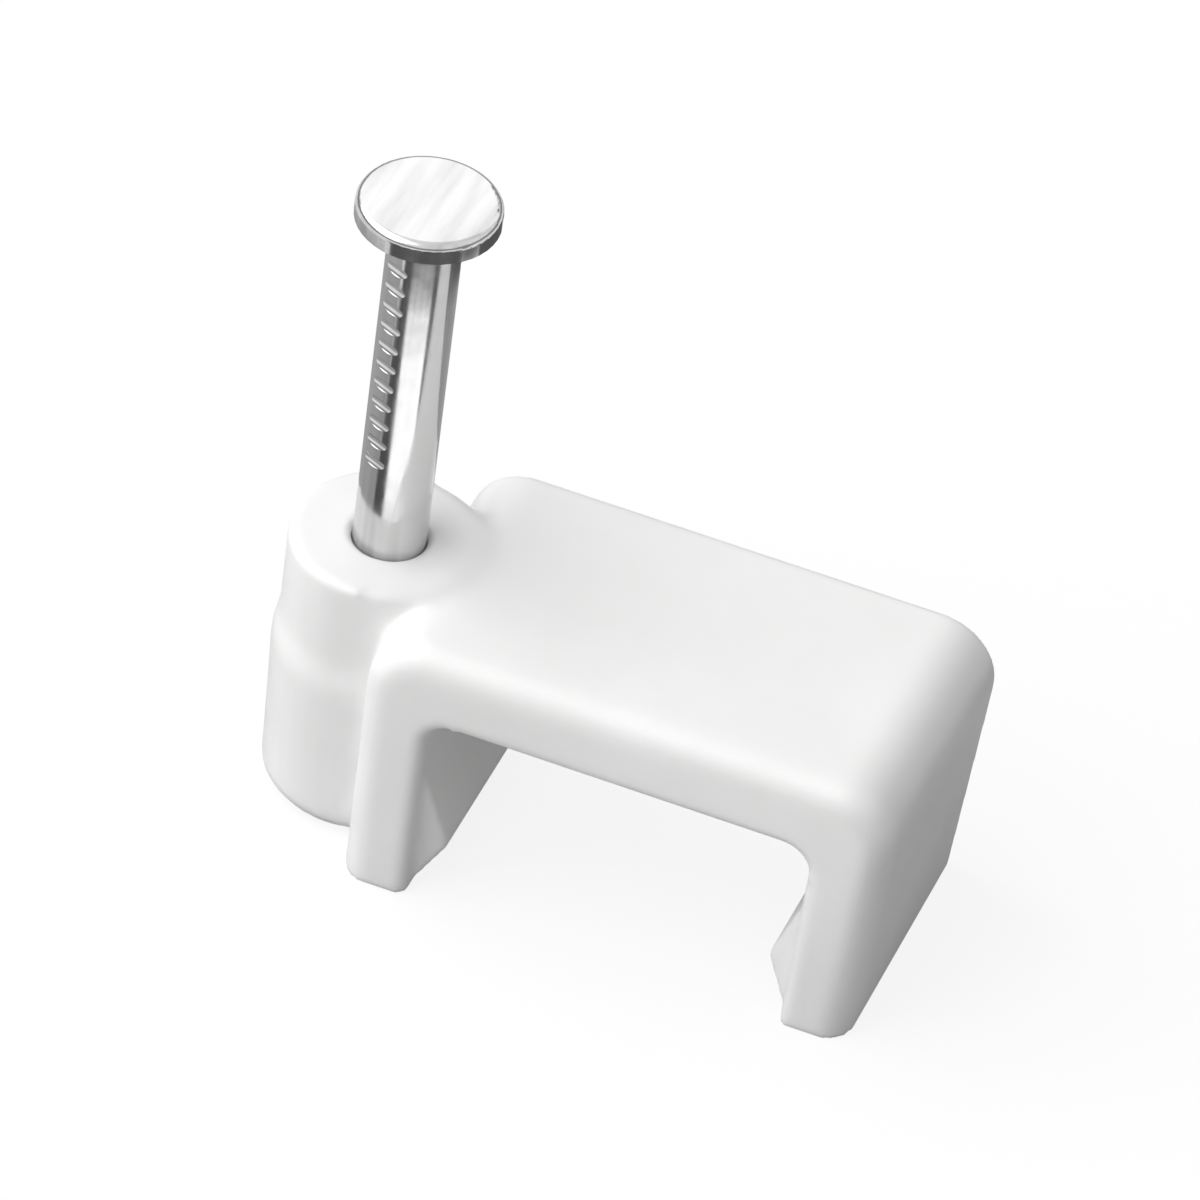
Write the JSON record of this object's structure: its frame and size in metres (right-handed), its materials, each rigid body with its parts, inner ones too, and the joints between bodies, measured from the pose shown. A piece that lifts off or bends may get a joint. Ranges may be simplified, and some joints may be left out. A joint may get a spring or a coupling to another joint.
{
  "type": "nail-in cable clip",
  "caption": "Moulded white saddle clip that holds a flat cable against a wall, with a round boss that carries a plated steel nail ready to drive.",
  "frame": {"origin": "where the nail's axis meets the wall", "axes": "+Z away from the wall along the nail, +X from the nail across the channel to the far leg, +Y along the cable; the wall is z = 0"},
  "size_m": [0.0188, 0.0082, 0.0199],
  "materials": {
    "plastic": "soft satin, as moulded polyethylene",
    "steel": "bright zinc plate with drawing streaks"
  },
  "bodies": {
    "root": {"clip_body": "plastic", "nail": "steel"}
  },
  "joints": []
}
